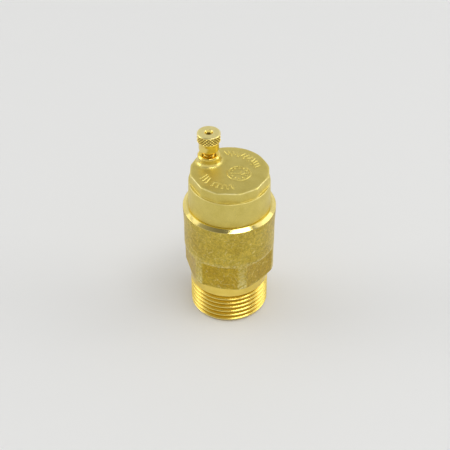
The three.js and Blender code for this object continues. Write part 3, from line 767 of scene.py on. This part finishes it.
def build_cap(columns=384):
    theta = angles(columns)
    outline = rounded_outline([
        (0, CAP_TOP_Z - 1.3, 0), (0.95, CAP_TOP_Z - 1.2, 0.1),
        (CAP_DIMPLE_FLOOR_R, CAP_TOP_Z - CAP_DIMPLE_DEPTH, 0.1), (CAP_DIMPLE_R, CAP_TOP_Z, 0.2),
        (4.3, CAP_TOP_Z, 0.2), (4.68, CAP_TOP_Z - 0.2, 0.25), (CAP_HEAD_R, CAP_TOP_Z - 0.45, 0.15),
        (CAP_HEAD_R, CAP_HEAD_Z, 0.2), (CAP_HEAD_R - 0.45, CAP_HEAD_Z - 0.4, 0.3),
        (CAP_SHANK_R, CAP_HEAD_Z - 1.6, 1.2), (CAP_SHANK_R, CAP_SHANK_Z, 0.6),
        (CAP_BOTTOM_R + 0.1, CAP_BOTTOM_Z + 0.2, 0.2), (CAP_BOTTOM_R - 0.2, CAP_BOTTOM_Z, 0.1),
        (CAP_BORE_R, CAP_BOTTOM_Z, 0.05), (CAP_BORE_R, CAP_CEILING_Z, 0.2), (0, CAP_CEILING_Z, 0),
    ], step=0.08)[::-1]
    r, z = outline[:, 0][:, None], outline[:, 1][:, None]
    across, up = theta * KNURL_TEETH / (2 * math.pi), z * KNURL_TEETH / (2 * math.pi * CAP_HEAD_R)
    ridge = np.minimum(triangle_wave(across + up), triangle_wave(across - up))
    low, high = CAP_HEAD_Z - 0.1, CAP_TOP_Z - 0.35
    zone = smooth_step(low, low + 0.3, z) * (1 - smooth_step(high - 0.25, high, z)) * (r > CAP_HEAD_R - 0.5)
    # painted shade in the knurl's grooves and in the hole of the top's dimple
    groove_shade = smooth_step(0.5, 0.12, ridge) * zone + (r < 1.2) * (z > CAP_HEAD_Z)
    r = r - KNURL_DEPTH * (1 - np.minimum(ridge * 1.25, 1)) * zone
    rows = np.stack([CAP_AXIS[0] + r * np.cos(theta), CAP_AXIS[1] + r * np.sin(theta),
                     np.broadcast_to(z, r.shape)], axis=-1)
    cap = ring_mesh("screw_cap", rows, loop=False, sharp_degrees=50)
    dress(cap, "cap", "turned_brass", "cap_brass", "faced_brass", replaces=("vent_cap",))
    paint(cap, "painted_shade", np.broadcast_to(groove_shade, ridge.shape)[1:-1].ravel(), ends=groove_shade[[0, -1], 0])
    off, z = polygon_places(cap, CAP_AXIS)
    faced = (z > CAP_TOP_Z - 0.25) & (off > CAP_DIMPLE_R - 0.1)
    cap.data.polygons.foreach_set("material_index", faced.astype(np.int32))


def build_nozzle(columns=96):
    theta = angles(columns)
    low, tip = nozzle_low[2], nozzle_high[2]
    outline = rounded_outline([
        (NOZZLE_BORE_R, low, 0), (NOZZLE_SEAT_R, low, 0.1), (NOZZLE_SEAT_R, NOZZLE_FLANGE_Z, 0.05),
        (NOZZLE_FLANGE_R, NOZZLE_FLANGE_Z, 0.2), (NOZZLE_FLANGE_R, NOZZLE_FLANGE_TOP_Z, 0.2),
        (NOZZLE_R, NOZZLE_FLANGE_TOP_Z, 0.05), (NOZZLE_R, tip - 0.5, 0.1), (NOZZLE_R - 0.5, tip, 0.1),
        (NOZZLE_BORE_R, tip, 0.1), (NOZZLE_BORE_R, low + 0.2, 0),
    ], step=0.12)
    r, z = (np.repeat(outline[:, i:i + 1], columns, axis=1) for i in (0, 1))
    depth = thread_depth(theta, z, NOZZLE_PITCH, tip - 0.7, 0.3)
    threaded = (z > NOZZLE_THREAD_Z) & (z < tip - 0.1) & (r > NOZZLE_R - 0.5)
    r = np.where(threaded, np.minimum(r, NOZZLE_R - depth * 0.8), r)
    rows = np.stack([CAP_AXIS[0] + r * np.cos(theta), CAP_AXIS[1] + r * np.sin(theta), z], axis=-1)
    nozzle = ring_mesh("threaded_nozzle", rows, loop=True, sharp_degrees=40)
    dress(nozzle, "root", "turned_brass", replaces=("valve_nozzle",))


# ------------------------------------------------------------------ camera, light and floor

def build_camera():
    data = bpy.data.cameras.new("camera")
    data.sensor_width = 36
    data.lens = 95.12
    camera = bpy.data.objects.new("camera", data)
    bpy.context.scene.collection.objects.link(camera)
    camera.location = (-0.00182, -0.3843, 0.3647)
    camera.rotation_euler = (math.radians(90 - 40.12), 0, 0)
    bpy.context.scene.camera = camera


def softbox(name, direction, half_angles_deg, radiance, roll_deg=0.0, distance=1.6):
    """A rectangular light seen from the vent in the given direction, of the given angular size.

    roll_deg turns it about its own axis; at 0 its first side runs level, left to right.
    """
    towards = Vector(direction).normalized()
    level = Vector((0, 1, 0)).cross(towards).normalized()
    axes = Matrix((level, towards.cross(level), towards)).transposed()
    data = bpy.data.lights.new(name, "AREA")
    data.shape = "RECTANGLE"
    data.size, data.size_y = (2 * distance * math.tan(math.radians(a)) for a in half_angles_deg)
    data.energy = radiance * math.pi * data.size * data.size_y
    light = bpy.data.objects.new(name, data)
    bpy.context.scene.collection.objects.link(light)
    roll = Matrix.Rotation(math.radians(roll_deg), 3, "Z")
    light.rotation_euler = (axes @ roll).to_euler()
    light.location = towards * distance + Vector((0, 0, cad_bounds[1][2] / 2))
    light.visible_camera = False


def build_world():
    """A pale room, dimmest straight overhead."""
    world = bpy.data.worlds.new("studio")
    bpy.context.scene.world = world
    world.use_nodes = True
    tree = world.node_tree
    place = tree.nodes.new("ShaderNodeTexCoord")
    split = tree.nodes.new("ShaderNodeSeparateXYZ")
    ramp = tree.nodes.new("ShaderNodeValToRGB")
    tree.links.new(place.outputs["Generated"], split.inputs[0])
    tree.links.new(split.outputs["Z"], ramp.inputs[0])
    tree.links.new(ramp.outputs[0], tree.nodes["Background"].inputs["Color"])
    stops = [(0.0, 0.9), (0.35, 0.88), (0.6, 0.76), (0.8, 0.42), (0.95, 0.2)]
    elements = ramp.color_ramp.elements
    while len(elements) < len(stops):
        elements.new(0.5)
    for element, (position, value) in zip(elements, stops):
        element.position = position
        element.color = (value, value, value, 1)


def build_floor():
    radius, sides = 1500, 96
    edge = [(radius * math.cos(a), radius * math.sin(a), -0.02) for a in angles(sides)]
    floor = make_object("floor", edge, [range(sides)])
    s = Shader("paper", 0.0, 0.65)
    s.surface.inputs["Base Color"].default_value = (0.81, 0.81, 0.8, 1)
    s.surface.inputs["Specular IOR Level"].default_value = 0.3
    floor.data.materials.append(s.material)


def build_studio():
    build_camera()
    build_world()
    build_floor()
    softbox("key", (0.245, -0.26, 0.934), (15, 6), 6.0, roll_deg=40)
    softbox("key_spill", (0.51, 0.17, 0.85), (12, 11), 0.72)
    softbox("right", (0.74, 0.28, 0.61), (8, 14), 1.0)
    softbox("left", (-0.52, 0.3, 0.8), (13, 12), 0.8)
    softbox("left_low", (-0.85, 0.2, 0.48), (10, 16), 0.75)
    softbox("side_left", (-0.95, 0.05, 0.16), (24, 13), 1.9)
    softbox("side_right", (0.95, 0.0, 0.16), (24, 13), 2.1)
    bpy.context.scene.view_settings.view_transform = "Standard"


# ------------------------------------------------------------------ the scene

build_studio()
build_body()
build_cover()
build_cap()
build_nozzle()

SLOT_OF = {s["node"]: s["material_slot"] for s in frame["record"]["subparts"]}
for node_name, obj in frame["nodes"].items():
    obj.data.materials.clear()
    obj.data.materials.append(MATERIALS[SLOT_OF[node_name]])
